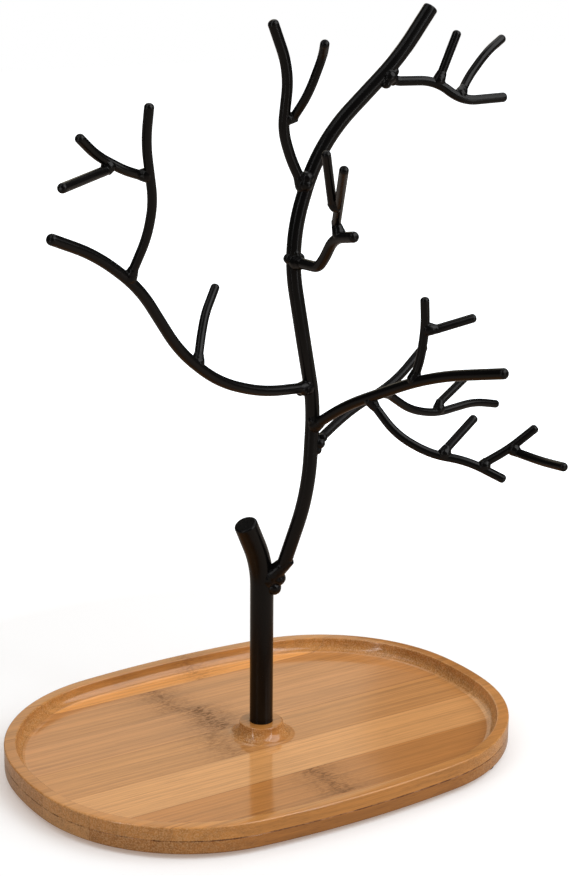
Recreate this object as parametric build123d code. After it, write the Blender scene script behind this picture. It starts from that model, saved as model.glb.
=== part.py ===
from build123d import *
import math
import os

# Jewellery tree on an oval bamboo tray.
#
# The tray is milled from a board of two glued plies, and the mill leaves a round
# boss in its middle. The tree is bent steel rod, welded together and powder
# coated black. Its trunk stands in a shallow socket in the boss, and one screw
# from below holds it. Four rubber feet carry the tray.
#
# Millimetres, +Z up, tray length along X, front towards -Y. While the parts are
# made, the trunk's axis is at x = y = 0 and the table is at z = 0. At the end
# the whole stand is moved so that the origin is the middle of its outline, on
# the table.

# ---- driving dimensions ----------------------------------------------------

# tray outline: twelve arcs, each tangent to the next
tray_length = 230.0
tray_width = 168.0
side_bow_ratio = 2.5
end_bow_ratio = 0.82
corner_bow_ratio = 0.446

# tray section
base_ply_thickness = 6.0
rim_ply_thickness = 6.0
recess_depth = 6.5
rim_width = 5.4
cove_radius = 4.8
rim_edge_round = 0.7
under_edge_round = 1.2
boss_top_diameter = 19.4
boss_cove_radius = 5.8
boss_edge_round = 0.5

# feet
foot_height = 2.0
foot_diameter = 10.0
foot_edge_round = 0.6
foot_spacing_x = 142.0
foot_spacing_y = 132.0
foot_shift_x = 3.0

# fastener: M5 button-head screw and washer, from below
socket_depth = 4.0
socket_clearance = 0.1
screw_diameter = 5.0
screw_length = 16.0
screw_head_diameter = 9.5
screw_head_height = 2.75
screw_hole_clearance = 0.3
thread_clearance = 0.05
tapped_hole_spare_depth = 3.0
hex_key_size = 3.0
hex_key_depth = 1.6
washer_diameter = 12.0
washer_thickness = 1.0
counterbore_clearance = 1.0
head_sink = 0.25
cut_overshoot = 1.0

# rod stock, powder coat included
trunk_diameter = 10.3
stem_diameter = 6.2
bough_diameter = 4.5
limb_diameter = 4.0
twig_diameter = 3.7

# shape of bends, tips and welds; way-points and reaches count in plan steps
plan_step_length = 1.0
trunk_height = 74.0
trunk_top_rise = 21.0
trunk_top_lean = (-10.0, -2.5)
stem_foot_drop = 9.0
bend_share = 0.45
dome_share = 0.8
cut_end_round = 0.9
weld_blob_share = 1.4
weld_seat = 0.38
weld_throat = 1.0
weld_toe = 0.15
neck_share = 0.85

# ---- sizes that follow -----------------------------------------------------

side_radius = side_bow_ratio * tray_width
end_radius = end_bow_ratio * tray_width
corner_radius = corner_bow_ratio * tray_width
underside_z = foot_height
seam_z = underside_z + base_ply_thickness
rim_top_z = seam_z + rim_ply_thickness
floor_z = rim_top_z - recess_depth
socket_floor_z = rim_top_z - socket_depth
counterbore_depth = head_sink + screw_head_height + washer_thickness
head_under_z = underside_z + head_sink + screw_head_height
screw_tip_z = head_under_z + screw_length
trunk_bend = socket_depth + trunk_height


# ---- tray ------------------------------------------------------------------

def corner_centre():
    """Centre of the corner arc that touches the side arc and the end arc."""
    side_centre_y = tray_width / 2 - side_radius
    end_centre_x = tray_length / 2 - end_radius
    side_reach = side_radius - corner_radius
    end_reach = end_radius - corner_radius
    apart = math.hypot(end_centre_x, side_centre_y)
    along = (side_reach**2 - end_reach**2 + apart**2) / (2 * apart)
    across = math.sqrt(side_reach**2 - along**2)
    towards = Vector(end_centre_x, -side_centre_y).normalized()
    square = Vector(-towards.Y, towards.X)
    foot = Vector(0, side_centre_y) + towards * along
    crossings = (foot + square * across, foot - square * across)
    return max(crossings, key=lambda crossing: crossing.X + crossing.Y)


def oval(inset, z):
    """The tray's outline as a face at height z, moved inwards by inset."""
    side_centre = Vector(0, tray_width / 2 - side_radius)
    end_centre = Vector(tray_length / 2 - end_radius, 0)
    corner = corner_centre()
    side_join = corner + (corner - side_centre).normalized() * (corner_radius - inset)
    end_join = corner + (corner - end_centre).normalized() * (corner_radius - inset)
    bisector = ((corner - side_centre).normalized() + (corner - end_centre).normalized())
    corner_mid = corner + bisector.normalized() * (corner_radius - inset)

    def turned(point, sign_x, sign_y):
        return (point.X * sign_x, point.Y * sign_y, z)

    half_x = tray_length / 2 - inset
    half_y = tray_width / 2 - inset
    arcs = []
    for sign in (1, -1):
        side = [turned(side_join, -1, sign), (0, half_y * sign, z), turned(side_join, 1, sign)]
        end = [turned(end_join, sign, -1), (half_x * sign, 0, z), turned(end_join, sign, 1)]
        arcs += [ThreePointArc(*side), ThreePointArc(*end)]
        for other in (1, -1):
            arcs.append(ThreePointArc(turned(side_join, sign, other),
                                      turned(corner_mid, sign, other),
                                      turned(end_join, sign, other)))
    return Face(Wire(arcs))


def milled_recess():
    """What the bowl bit removes: it runs round the rim and round the boss."""
    pocket = extrude(oval(rim_width, floor_z), amount=recess_depth, dir=(0, 0, 1))
    boss = Pos(0, 0, floor_z) * Cylinder(boss_top_diameter / 2, recess_depth,
                                         align=(Align.CENTER, Align.CENTER, Align.MIN))
    pocket -= boss
    floor = pocket.faces().sort_by(Axis.Z)[0]
    pocket = fillet(floor.inner_wires()[0].edges(), boss_cove_radius)
    floor = pocket.faces().sort_by(Axis.Z)[0]
    return fillet(floor.outer_wire().edges(), cove_radius)


def screw_passage():
    """Socket for the trunk, clearance hole for the screw and counterbore below."""
    upwards = (Align.CENTER, Align.CENTER, Align.MIN)
    socket = Pos(0, 0, socket_floor_z) * Cylinder(
        trunk_diameter / 2 + socket_clearance, socket_depth + cut_overshoot, align=upwards)
    hole = Pos(0, 0, underside_z - cut_overshoot) * Cylinder(
        screw_diameter / 2 + screw_hole_clearance,
        socket_floor_z - underside_z + cut_overshoot, align=upwards)
    counterbore = Pos(0, 0, underside_z - cut_overshoot) * Cylinder(
        washer_diameter / 2 + counterbore_clearance,
        counterbore_depth + cut_overshoot, align=upwards)
    return socket + hole + counterbore


def outer_edges(solid, z):
    """The outline's edges at one height, without those of holes."""
    level = solid.faces().filter_by(Plane.XY).sort_by(lambda face: abs(face.center().Z - z))[0]
    return level.outer_wire().edges()


def base_ply():
    ply = extrude(oval(0, underside_z), amount=base_ply_thickness, dir=(0, 0, 1))
    ply = fillet(outer_edges(ply, underside_z), under_edge_round)
    return ply - milled_recess() - screw_passage()


def rim_ply():
    """The upper ply, cut by the mill into a rim and the boss in its middle."""
    ply = extrude(oval(0, seam_z), amount=rim_ply_thickness, dir=(0, 0, 1))
    ply -= milled_recess()
    boss_top, rim_top = ply.faces().filter_by(Plane.XY).group_by(Axis.Z)[-1].sort_by(SortBy.AREA)
    ply = fillet(rim_top.edges(), rim_edge_round)
    boss_top = ply.faces().filter_by(Plane.XY).group_by(Axis.Z)[-1].sort_by(SortBy.AREA)[0]
    ply = fillet(boss_top.edges(), boss_edge_round)
    boss, rim = (ply - screw_passage()).solids().sort_by(SortBy.VOLUME)
    return rim, boss


def feet():
    foot = extrude(Circle(foot_diameter / 2), amount=foot_height)
    foot = fillet(foot.edges().group_by(Axis.Z)[0], foot_edge_round)
    places = GridLocations(foot_spacing_x, foot_spacing_y, 2, 2)
    return [Pos(foot_shift_x, 0, 0) * place * foot for place in places]


# ---- fastener --------------------------------------------------------------

def washer():
    ring = Circle(washer_diameter / 2) - Circle(screw_diameter / 2 + screw_hole_clearance)
    return extrude(Plane.XY.offset(head_under_z) * ring, amount=washer_thickness)


def screw():
    """Button head down, shank up."""
    head_bottom_z = underside_z + head_sink
    head = extrude(Plane.XY.offset(head_bottom_z) * Circle(screw_head_diameter / 2),
                   amount=screw_head_height)
    head = fillet(head.edges().group_by(Axis.Z)[0], screw_head_height * 0.7)
    shank = extrude(Plane.XY.offset(head_under_z) * Circle(screw_diameter / 2),
                    amount=screw_length)
    shank = chamfer(shank.edges().group_by(Axis.Z)[-1], screw_diameter * 0.12)
    key_radius = hex_key_size / math.sqrt(3)
    key = extrude(Plane.XY.offset(head_bottom_z) * RegularPolygon(key_radius, 6),
                  amount=hex_key_depth)
    return head + shank - key


# ---- bent rods -------------------------------------------------------------

def bent_route(points):
    """Straight runs joined by tangent arcs, each as large as its two runs allow."""
    if len(points) == 2:
        return Wire(Line(*points))
    radii = []
    for before, here, after in zip(points, points[1:], points[2:]):
        turn = math.radians((here - before).get_angle(after - here))
        shorter = min((here - before).length, (after - here).length)
        radii.append(bend_share * shorter / math.tan(turn / 2))
    return Wire(FilletPolyline(*points, radius=radii).edges())


class Rod:
    """One bent rod.

    reach is how far along its parent's route the rod is welded on. bends are its
    way-points, as (x, y, z) from that place. With butted=True the first way-point
    is the rod's square-cut lower end, held a little off the parent's axis by its
    weld. Otherwise the rod runs in to the parent's axis and is coped to fit.
    """

    def __init__(self, diameter, bends, parent=None, reach=0.0, butted=False, domed=True):
        self.diameter = diameter
        self.parent = parent
        if parent is None:
            self.foot = Vector(0, 0, socket_floor_z)
        else:
            self.foot = parent.route.position_at(reach * plan_step_length, PositionMode.LENGTH)
        points = [self.foot + Vector(*bend) * plan_step_length for bend in bends]
        if not butted:
            points.insert(0, self.foot)
        self.start = points[0]
        self.heading = (points[1] - points[0]).normalized()
        self.route = bent_route(points)
        self.butted = butted
        self.full = self.swept(domed)
        self.solid = self.full if parent is None else self.full - parent.full

    def swept(self, domed):
        section = Plane(origin=self.start, z_dir=self.heading) * Circle(self.diameter / 2)
        rod = sweep(section, path=self.route)
        tip = self.route.position_at(1)
        end_face = rod.faces().filter_by(GeomType.PLANE).sort_by_distance(tip)[0]
        rounding = dome_share * self.diameter / 2 if domed else cut_end_round
        return fillet(end_face.edges(), rounding)

    def weld(self):
        """The bead round this rod's foot, with the parent and the rod cut out of it."""
        lean = self.start - self.foot if self.butted else self.heading
        outwards = lean.normalized()
        radius = self.diameter / 2
        blob_radius = weld_blob_share * radius + weld_toe
        centre = self.foot + outwards * self.parent.diameter * weld_seat
        if self.butted:
            bead = bead_on(centre, outwards, blob_radius, radius * neck_share, lean.length)
        else:
            bead = bead_on(centre, outwards, blob_radius, radius + weld_toe,
                           blob_radius + weld_throat)
        return (bead - self.parent.full - self.full).solids().sort_by(SortBy.VOLUME)[-1]


def bead_on(centre, outwards, blob_radius, throat_radius, throat_length):
    """A round blob that runs out along a tangent cone to its throat."""
    reach = max(throat_length, blob_radius)
    slope = math.atan2(reach, throat_radius) - math.acos(
        blob_radius / math.hypot(reach, throat_radius))
    tangent_point = (blob_radius * math.cos(slope), blob_radius * math.sin(slope))
    half_way = (slope - math.pi / 2) / 2
    blob = ThreePointArc((0, -blob_radius),
                         (blob_radius * math.cos(half_way), blob_radius * math.sin(half_way)),
                         tangent_point)
    cone = Polyline(tangent_point, (throat_radius, reach), (0, reach), (0, -blob_radius))
    lying = make_face(blob.edges() + cone.edges())
    aside = Plane(origin=centre, z_dir=outwards).x_dir
    standing = Plane(origin=centre, x_dir=aside, z_dir=aside.cross(outwards))
    return revolve(standing * lying, axis=Axis(centre, outwards))


def trunk():
    bend_height = trunk_bend / plan_step_length
    top_height = (trunk_bend + trunk_top_rise) / plan_step_length
    post = Rod(trunk_diameter, [(0, 0, bend_height), (*trunk_top_lean, top_height)],
               domed=False)
    tapped_depth = screw_tip_z - socket_floor_z + tapped_hole_spare_depth
    tapped_hole = Pos(0, 0, socket_floor_z) * Cylinder(
        screw_diameter / 2 + thread_clearance, 2 * tapped_depth)
    post.solid = post.full - tapped_hole
    return post


def left_limb(stem):
    bough = Rod(bough_diameter, [
        (-27, -5.5, 2.5), (-50, -9.5, 10.5), (-70, -13.5, 26), (-92.5, -22.5, 56),
        (-111.5, -25, 70.5), (-133, -30, 79.5)], stem, reach=83.5)
    riser = Rod(twig_diameter, [
        (3.5, -8.5, 17.5), (3.5, -13.5, 31), (-2, -18.5, 53.5), (-3, -23.5, 68)],
        bough, reach=121.5)
    fork = Rod(twig_diameter, [
        (-3, 2.5, 0), (-10.5, -0.5, 2.5), (-22, -1.5, 8.5), (-31.5, -6, 16.5)],
        riser, reach=45, butted=True)
    tine = Rod(twig_diameter, [(-1, 0, -2.5), (-30.5, -23, -4)], fork, reach=15.5, butted=True)
    twig = Rod(twig_diameter, [(5, 5.5, 11), (8.5, 8.5, 18.5), (16, 12.5, 29)],
               bough, reach=66.5)
    return {"left_bough": bough, "left_riser": riser, "left_riser_fork": fork,
            "left_riser_tine": tine, "left_bough_twig": twig}


def crown(stem):
    left = Rod(bough_diameter, [
        (-6.5, 1, 13), (-11, 0, 25), (-11, -4.5, 48.5), (-19.5, -5, 68.5)], stem, reach=168)
    left_twig = Rod(twig_diameter, [
        (4, -0.5, 0), (4, -11.5, 10.5), (6.5, -17.5, 25.5), (2.5, -25, 31.5)],
        left, reach=32, butted=True)
    right = Rod(limb_diameter, [
        (4.5, -1, -3.5), (21, -6, -3.5), (32, -10.5, -12), (52, -14, -11)], stem, reach=226)
    near_twig = Rod(twig_diameter, [(10, 0.5, 21)], right, reach=24)
    far_twig = Rod(twig_diameter, [(7.5, 4.5, 7), (17.5, 5.5, 17), (29, 9, 22.5)],
                   right, reach=35)
    return {"crown_left_bough": left, "crown_left_twig": left_twig,
            "crown_right_bough": right, "crown_right_near_twig": near_twig,
            "crown_right_far_twig": far_twig}


def front_limb(stem):
    crook = Rod(bough_diameter, [
        (0.5, -17.5, 0.5), (0.3, -22.3, 5), (-1.2, -31.3, 14.8), (-1.5, -46.8, 17.6)], stem, reach=138.5)
    twig = Rod(twig_diameter, [(-0.5, 2.1, 5.5), (-19, -30.1, 32.2)], crook, reach=41, butted=True)
    fork = Rod(twig_diameter, [(-2.7, 0.3, 1.6), (-12.5, -9.5, 23.1)], twig, reach=14,
               butted=True)
    return {"front_crook": crook, "front_crook_twig": twig, "front_crook_fork": fork}


def right_limb(stem):
    bough = Rod(bough_diameter, [(4, -19.5, 13.5), (15, -61.5, 33.5), (23, -99.5, 42)],
                stem, reach=65.5)
    riser = Rod(twig_diameter, [(1.5, -3, 10), (2, -5, 24), (0.5, -6, 36)], bough, reach=62)
    riser_twig = Rod(twig_diameter, [(4, -2.5, 0), (19.5, -7.5, 4)], riser, reach=23.5,
                     butted=True)
    return {"right_bough": bough, "right_riser": riser, "right_riser_twig": riser_twig}


def low_limb(right_bough):
    bough = Rod(twig_diameter, [
        (7.5, -9.5, -14.5), (18, -19, -22), (30.5, -28, -24.5), (42.5, -38, -32)],
        right_bough, reach=37)
    near_twig = Rod(twig_diameter, [(1.5, 0, 3), (16.5, 0.5, 14.5)], bough, reach=40,
                    butted=True)
    far_twig = Rod(twig_diameter, [(1.5, 0, 2.5), (9, -5.5, 8.5), (18, -11.5, 18)],
                   bough, reach=57, butted=True)
    end_twig = Rod(twig_diameter, [(1.5, -2.5, -2), (1, -18.5, -1.5), (-0.5, -34.5, 0.5)],
                   far_twig, reach=12, butted=True)
    return {"low_bough": bough, "low_near_twig": near_twig, "low_far_twig": far_twig,
            "low_end_twig": end_twig}


def rear_limb(stem):
    bough = Rod(limb_diameter, [(21, 1, 13.5), (41.5, -1, 22.5), (59.5, 1, 37)],
                stem, reach=56.5)
    branch = Rod(twig_diameter, [
        (17.5, 3, -12), (32.5, 4.5, -16), (57, 8.5, -15), (72, 10, -18.5)], bough, reach=41.5)
    twig = Rod(twig_diameter, [(1, 0.5, 4), (17.5, 0.5, 15.5)], branch, reach=38.5,
               butted=True)
    return {"rear_bough": bough, "rear_branch": branch, "rear_branch_twig": twig}


# ---- the whole stand -------------------------------------------------------

def build_nodes():
    """Every node of the stand by name, as a list of its solids."""
    rim, boss = rim_ply()
    nodes = {"tray_base_ply": [base_ply()], "tray_rim": [rim], "tray_boss": [boss],
             "rubber_feet": feet(), "trunk_washer": [washer()], "trunk_screw": [screw()]}
    post = trunk()
    stem = Rod(stem_diameter, [
        (6.5, -7.5, 10), (12, -18, 45), (14, -18, 84), (7.5, -21, 108), (1, -18, 152),
        (14, -19.5, 193), (47, -28, 227), (61.5, -29, 246.5)],
        post, reach=(trunk_bend - stem_foot_drop) / plan_step_length, butted=True, domed=False)
    right = right_limb(stem)
    limbs = {"stem": {"main_stem": stem}, "left": left_limb(stem), "crown": crown(stem),
             "front": front_limb(stem), "right": right,
             "low": low_limb(right["right_bough"]), "rear": rear_limb(stem)}
    nodes["trunk_post"] = [post.solid]
    for limb, rods in limbs.items():
        nodes.update({name: [rod.solid] for name, rod in rods.items()})
        nodes[f"{limb}_welds"] = [rod.weld() for rod in rods.values()]
    return nodes


def main():
    nodes = build_nodes()
    box = Compound([solid for solids in nodes.values() for solid in solids]).bounding_box()
    to_origin = Pos(-box.center().X, -box.center().Y, -box.min.Z)
    os.makedirs("parts", exist_ok=True)
    for name, solids in nodes.items():
        placed = [to_origin * solid for solid in solids]
        export_step(placed[0] if len(placed) == 1 else Compound(placed), f"parts/{name}.step")
    print("trunk axis at", tuple(round(value, 3) for value in to_origin.position))
    print("overall size", tuple(round(value, 1) for value in box.size))


main()
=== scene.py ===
# %% [markdown]
# # A jewellery tree on an oval bamboo tray
#
# The real object is bent steel rod, welded and powder coated black, that stands on a
# shallow tray of lacquered bamboo. The CAD model says where everything is. Here each
# part gets the surface that the eye sees: rounded rods, lumpy welds, a milled tray
# with planks, fibres and knuckles, and a plain white studio.
#
# The frame is loaded first, because every later step sits on it.

# %% Load the frame
import math

import bmesh
import bpy
from mathutils import Matrix, Vector


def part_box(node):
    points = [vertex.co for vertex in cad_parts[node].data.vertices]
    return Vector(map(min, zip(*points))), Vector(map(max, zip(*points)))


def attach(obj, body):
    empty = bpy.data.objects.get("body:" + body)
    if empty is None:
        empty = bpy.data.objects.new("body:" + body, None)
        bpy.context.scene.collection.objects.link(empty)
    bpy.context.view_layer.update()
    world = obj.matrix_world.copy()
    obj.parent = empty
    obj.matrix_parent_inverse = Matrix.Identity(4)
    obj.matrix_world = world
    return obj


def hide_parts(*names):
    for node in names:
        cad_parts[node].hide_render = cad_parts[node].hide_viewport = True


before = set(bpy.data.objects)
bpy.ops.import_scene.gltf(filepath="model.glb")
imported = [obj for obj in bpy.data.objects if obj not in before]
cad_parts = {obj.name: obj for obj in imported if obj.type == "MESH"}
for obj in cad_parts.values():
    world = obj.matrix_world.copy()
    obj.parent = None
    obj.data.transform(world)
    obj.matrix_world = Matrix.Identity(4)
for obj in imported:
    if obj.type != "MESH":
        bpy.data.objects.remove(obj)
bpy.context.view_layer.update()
MM = 0.001

washer_low, washer_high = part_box("trunk_washer")
AXIS = (Vector(washer_low) + Vector(washer_high)) / 2 / MM
AXIS.z = 0
print("trunk axis in mm:", [round(value, 3) for value in AXIS])

# %% [markdown]
# ## Camera
#
# The photograph was taken from the front left, a little above the tray, with a long
# lens. The camera could be placed by eye. It is placed by numbers instead, found by
# matching the tray's outline, so that the rods fall on the same pixels.

# %% Camera
AZIMUTH, ELEVATION, ROLL = (math.radians(angle) for angle in (-32.45, 16.24, 0.48))
DISTANCE, AIM_RIGHT, AIM_UP = 850.2, 10.53, 137.56
FOCAL_PIXELS, PHOTO_HEIGHT, SENSOR = 1894, 876, 36
UNDERSIDE_HEIGHT = 2

back = Vector((math.sin(AZIMUTH) * math.cos(ELEVATION),
               -math.cos(AZIMUTH) * math.cos(ELEVATION), math.sin(ELEVATION)))
level_right = (-back).cross(Vector((0, 0, 1))).normalized()
level_up = level_right.cross(-back)
right = math.cos(ROLL) * level_right + math.sin(ROLL) * level_up
up = -math.sin(ROLL) * level_right + math.cos(ROLL) * level_up
eye = AXIS + Vector((0, 0, UNDERSIDE_HEIGHT)) + AIM_RIGHT * right + AIM_UP * up + DISTANCE * back

lens_data = bpy.data.cameras.new("studio_camera")
lens_data.sensor_fit = "VERTICAL"
lens_data.sensor_height = SENSOR
lens_data.lens = FOCAL_PIXELS / PHOTO_HEIGHT * SENSOR
lens_data.clip_start, lens_data.clip_end = 0.05, 50
camera = bpy.data.objects.new("studio_camera", lens_data)
camera.matrix_world = Matrix.Translation(eye * MM) @ Matrix(
    (right, up, back)).transposed().to_4x4()
bpy.context.scene.collection.objects.link(camera)
bpy.context.scene.camera = camera
print("lens in mm:", round(lens_data.lens, 2))

# %% [markdown]
# ## Small helpers for nodes
#
# One turns a colour as it is written on a screen into the linear colour that Blender
# works with. One adds a node with its settings and links in one line. The other two
# start a material, and give the place on the object in millimetres, so that a
# pattern's scale can be its real size.

# %% Colour and node helpers
def linear(hex_colour):
    """sRGB hex, such as "#c99a6e", to linear RGBA."""
    channels = [int(hex_colour[i:i + 2], 16) / 255 for i in (1, 3, 5)]
    return tuple(c / 12.92 if c <= 0.04045 else ((c + 0.055) / 1.055) ** 2.4
                 for c in channels) + (1.0,)


def add(tree, kind, inputs=None, **settings):
    """Adds a node. inputs maps a socket's name or number to a value or to an output."""
    node = tree.nodes.new(kind)
    for name, value in settings.items():
        setattr(node, name, value)
    for socket, value in (inputs or {}).items():
        if isinstance(value, bpy.types.NodeSocket):
            tree.links.new(value, node.inputs[socket])
        else:
            node.inputs[socket].default_value = value
    return node


def new_material(name):
    material = bpy.data.materials.new(name)
    material.use_nodes = True
    return material, material.node_tree, material.node_tree.nodes["Principled BSDF"]


def place_in_mm(tree, shift=(0, 0, 0)):
    """Where a point lies on the object, in millimetres, after this shift."""
    place = add(tree, "ShaderNodeTexCoord")
    in_mm = add(tree, "ShaderNodeVectorMath", {
        0: place.outputs["Object"], 1: (1 / MM,) * 3, 2: shift}, operation="MULTIPLY_ADD")
    return in_mm.outputs[0]


# %% [markdown]
# ## Black powder coat
#
# Powder coat is dry paint baked onto steel. It gives an even satin skin, a little
# wavy like orange peel, that softens every edge. The black is warm rather than blue.
# A satin roughness keeps the lamps as thin soft lines along the rods, and a fine
# noise bump makes the peel. Its waves are a little under 1 mm wide, the real size.

# %% Powder coat
POWDER_BLACK, POWDER_WORN = "#060505", "#0b0a09"
PEEL_PER_MM, PEEL_DEPTH = 1.3, 0.1
CLOUDS_PER_MM = 0.12
SMOOTHEST, ROUGHEST = 0.22, 0.28

powder_coat, tree, shader = new_material("Powder coated steel, satin black")
in_mm = place_in_mm(tree)
peel = add(tree, "ShaderNodeTexNoise", {"Vector": in_mm, "Scale": PEEL_PER_MM,
                                        "Detail": 2.0, "Roughness": 0.5})
cloud = add(tree, "ShaderNodeTexNoise", {"Vector": in_mm, "Scale": CLOUDS_PER_MM,
                                         "Detail": 4.0, "Roughness": 0.6})
tone = add(tree, "ShaderNodeMix", {"Factor": cloud.outputs["Fac"], "A": linear(POWDER_BLACK),
                                   "B": linear(POWDER_WORN)}, data_type="RGBA")
satin = add(tree, "ShaderNodeMapRange", {"Value": cloud.outputs["Fac"], "From Min": 0.3,
                                         "From Max": 0.7, "To Min": SMOOTHEST,
                                         "To Max": ROUGHEST})
skin = add(tree, "ShaderNodeBump", {"Height": peel.outputs["Fac"], "Strength": 0.03,
                                    "Distance": PEEL_DEPTH * MM})
tree.links.new(tone.outputs["Result"], shader.inputs["Base Color"])
tree.links.new(satin.outputs["Result"], shader.inputs["Roughness"])
tree.links.new(skin.outputs["Normal"], shader.inputs["Normal"])
shader.inputs["IOR"].default_value = 1.5
shader.inputs["Specular IOR Level"].default_value = 0.2

# %% [markdown]
# ## Carbonised bamboo, lacquered
#
# The tray is laminated bamboo: strips about 27 mm wide, steamed to a honey brown,
# glued edge to edge in two plies and milled to shape. Every strip has its own tone,
# long fibres, and here and there a knuckle, the ring where the cane had a joint.
# The strips run along X through both plies, so their joints show on the side too.
#
# A picture of bamboo would have to be wrapped round the coves. A pattern in space
# needs no wrapping, because the board is cut out of it as the real one is cut out of
# its blank. So every layer reads Object coordinates, in millimetres from the trunk.
#
# The first layer is three charts, with a step for each strip: its colour in the lower
# ply, its colour in the upper ply, and its knuckle's place and strength.

# %% Bamboo: strips
STRIP_WIDTH, STRIP_JOINT, FIRST_STRIP = 26.7, 12.5, -4
# from front to back: lower colour, upper colour, knuckle's x in mm, knuckle's strength
STRIPS = [("#ac7034", "#b57a3c", 60, 0.3), ("#ac7034", "#b1763a", 0, 0.9),
          ("#c38a50", "#b57b40", 150, 0.0), ("#b67d44", "#a76d31", -21, 0.6),
          ("#b47b45", "#a56b30", -12, 1.0), ("#b17841", "#aa7034", -20, 0.8),
          ("#d2904c", "#b2783a", 8, 0.5)]
KNUCKLE_SPAN = 400

bamboo, tree, shader = new_material("Carbonised bamboo, clear lacquer")
in_mm = place_in_mm(tree, -AXIS)
axes = add(tree, "ShaderNodeSeparateXYZ", {0: in_mm})
along, across, height = axes.outputs

strip = add(tree, "ShaderNodeMath", {0: across, 1: STRIP_JOINT}, operation="SUBTRACT")
strip = add(tree, "ShaderNodeMath", {0: strip.outputs[0], 1: STRIP_WIDTH}, operation="DIVIDE")
strip_number = add(tree, "ShaderNodeMath", {0: strip.outputs[0]}, operation="FLOOR")
chart_place = add(tree, "ShaderNodeMapRange", {
    "Value": strip_number.outputs[0], "From Min": FIRST_STRIP - 0.5,
    "From Max": FIRST_STRIP + len(STRIPS) - 0.5})
charts = [add(tree, "ShaderNodeValToRGB", {"Fac": chart_place.outputs["Result"]})
          for _ in ("lower", "upper", "knuckle")]
for chart in charts:
    chart.color_ramp.interpolation = "CONSTANT"
    for number in range(len(STRIPS) - 2):
        chart.color_ramp.elements.new(0.5)
for number, (lower_colour, upper_colour, knuckle_x, strength) in enumerate(STRIPS):
    knuckle_values = (knuckle_x / KNUCKLE_SPAN + 0.5, strength, 0, 1)
    for chart, value in zip(charts, (linear(lower_colour), linear(upper_colour),
                                     knuckle_values)):
        chart.color_ramp.elements[number].position = number / len(STRIPS)
        chart.color_ramp.elements[number].color = value
lower_tone, upper_tone, knuckle_chart = charts
print("strips:", len(STRIPS))

# %% [markdown]
# ### Plies
#
# The seam between the plies lies 8 mm up. Below it the board has the lower colours,
# above it the upper ones. Faces of the lower ply that stand upright are painted
# darker: painted shade on the lower part of the side wall, near the ground.

# %% Bamboo: plies
PLY_SEAM_HEIGHT = 8
# painted shade: the lower ply's upright faces are multiplied by this
LOW_SIDE_PAINTED_SHADE = 0.85

in_upper_ply = add(tree, "ShaderNodeMath", {0: height, 1: PLY_SEAM_HEIGHT},
                   operation="GREATER_THAN")
ply_tone = add(tree, "ShaderNodeMix", {"Factor": in_upper_ply.outputs[0],
                                       "A": lower_tone.outputs["Color"],
                                       "B": upper_tone.outputs["Color"]}, data_type="RGBA")
facing = add(tree, "ShaderNodeNewGeometry")
facing_axes = add(tree, "ShaderNodeSeparateXYZ", {0: facing.outputs["True Normal"]})
upright = add(tree, "ShaderNodeMath", {0: facing_axes.outputs["Z"]}, operation="ABSOLUTE")
upright = add(tree, "ShaderNodeMapRange", {"Value": upright.outputs[0], "From Min": 0.88,
                                           "From Max": 0.72})
low_side = add(tree, "ShaderNodeMath", {0: 1.0, 1: in_upper_ply.outputs[0]},
               operation="SUBTRACT")
low_side = add(tree, "ShaderNodeMath", {0: low_side.outputs[0],
                                        1: upright.outputs["Result"]},
               operation="MULTIPLY")
# painted shade on the lower ply's upright side, not a real stain
low_side_painted_shade = add(tree, "ShaderNodeMapRange", {"Value": low_side.outputs[0], "To Min": 1.0,
                                         "To Max": LOW_SIDE_PAINTED_SHADE})

# %% [markdown]
# ### Fibres
#
# Bamboo's fibres are bundles a few tenths of a millimetre wide, as long as the cane
# between two knuckles. Three layers of noise are drawn out along X: single bundles,
# streaks, and slow changes of tone. Where a side cuts across them, the same noise
# shows as the dots of end grain. The finest layer is a little coarser than real
# bundles, or it would not show. Each strip reads the noise elsewhere, so no fibre
# runs over a joint.

# %% Bamboo: fibres
#                share of its length along X, waves per mm, detail
FIBRE_LAYERS = [(0.022, 2.6, 2.0), (0.012, 0.6, 3.0), (0.006, 0.13, 2.0)]
FINE_SHARE, STREAK_SHARE, BROAD_SHARE = 0.35, 0.9, 0.5
DARKEST_FIBRE, LIGHTEST_FIBRE = 0.66, 1.32
STRIP_SHIFT = 37

strip_shift = add(tree, "ShaderNodeCombineXYZ", {"X": strip_number.outputs[0],
                                                 "Z": strip_number.outputs[0]})
grain_place = add(tree, "ShaderNodeVectorMath", {
    0: strip_shift.outputs[0], 1: (STRIP_SHIFT,) * 3, 2: in_mm}, operation="MULTIPLY_ADD")
noises = []
for squeeze, per_mm, detail in FIBRE_LAYERS:
    stretched = add(tree, "ShaderNodeVectorMath", {0: grain_place.outputs[0],
                                                   1: (squeeze, 1, 1)}, operation="MULTIPLY")
    noises.append(add(tree, "ShaderNodeTexNoise", {
        "Vector": stretched.outputs[0], "Scale": per_mm, "Detail": detail,
        "Roughness": 0.55}).outputs["Fac"])
fine, streaks, broad = noises
bundles = add(tree, "ShaderNodeMapRange", {"Value": fine, "From Min": 0.5, "From Max": 0.68,
                                           "To Max": -0.3})
some = add(tree, "ShaderNodeMath", {0: fine, 1: FINE_SHARE, 2: bundles.outputs["Result"]},
           operation="MULTIPLY_ADD")
more = add(tree, "ShaderNodeMath", {0: streaks, 1: STREAK_SHARE, 2: some.outputs[0]},
           operation="MULTIPLY_ADD")
fibres = add(tree, "ShaderNodeMath", {0: broad, 1: BROAD_SHARE, 2: more.outputs[0]},
             operation="MULTIPLY_ADD")
fibre_shade = add(tree, "ShaderNodeMapRange", {
    "Value": fibres.outputs[0], "From Min": 0.35, "From Max": 1.0,
    "To Min": DARKEST_FIBRE, "To Max": LIGHTEST_FIBRE})
grained = add(tree, "ShaderNodeVectorMath", {0: ply_tone.outputs["Result"],
                                             1: fibre_shade.outputs["Result"]},
              operation="MULTIPLY")
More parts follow.
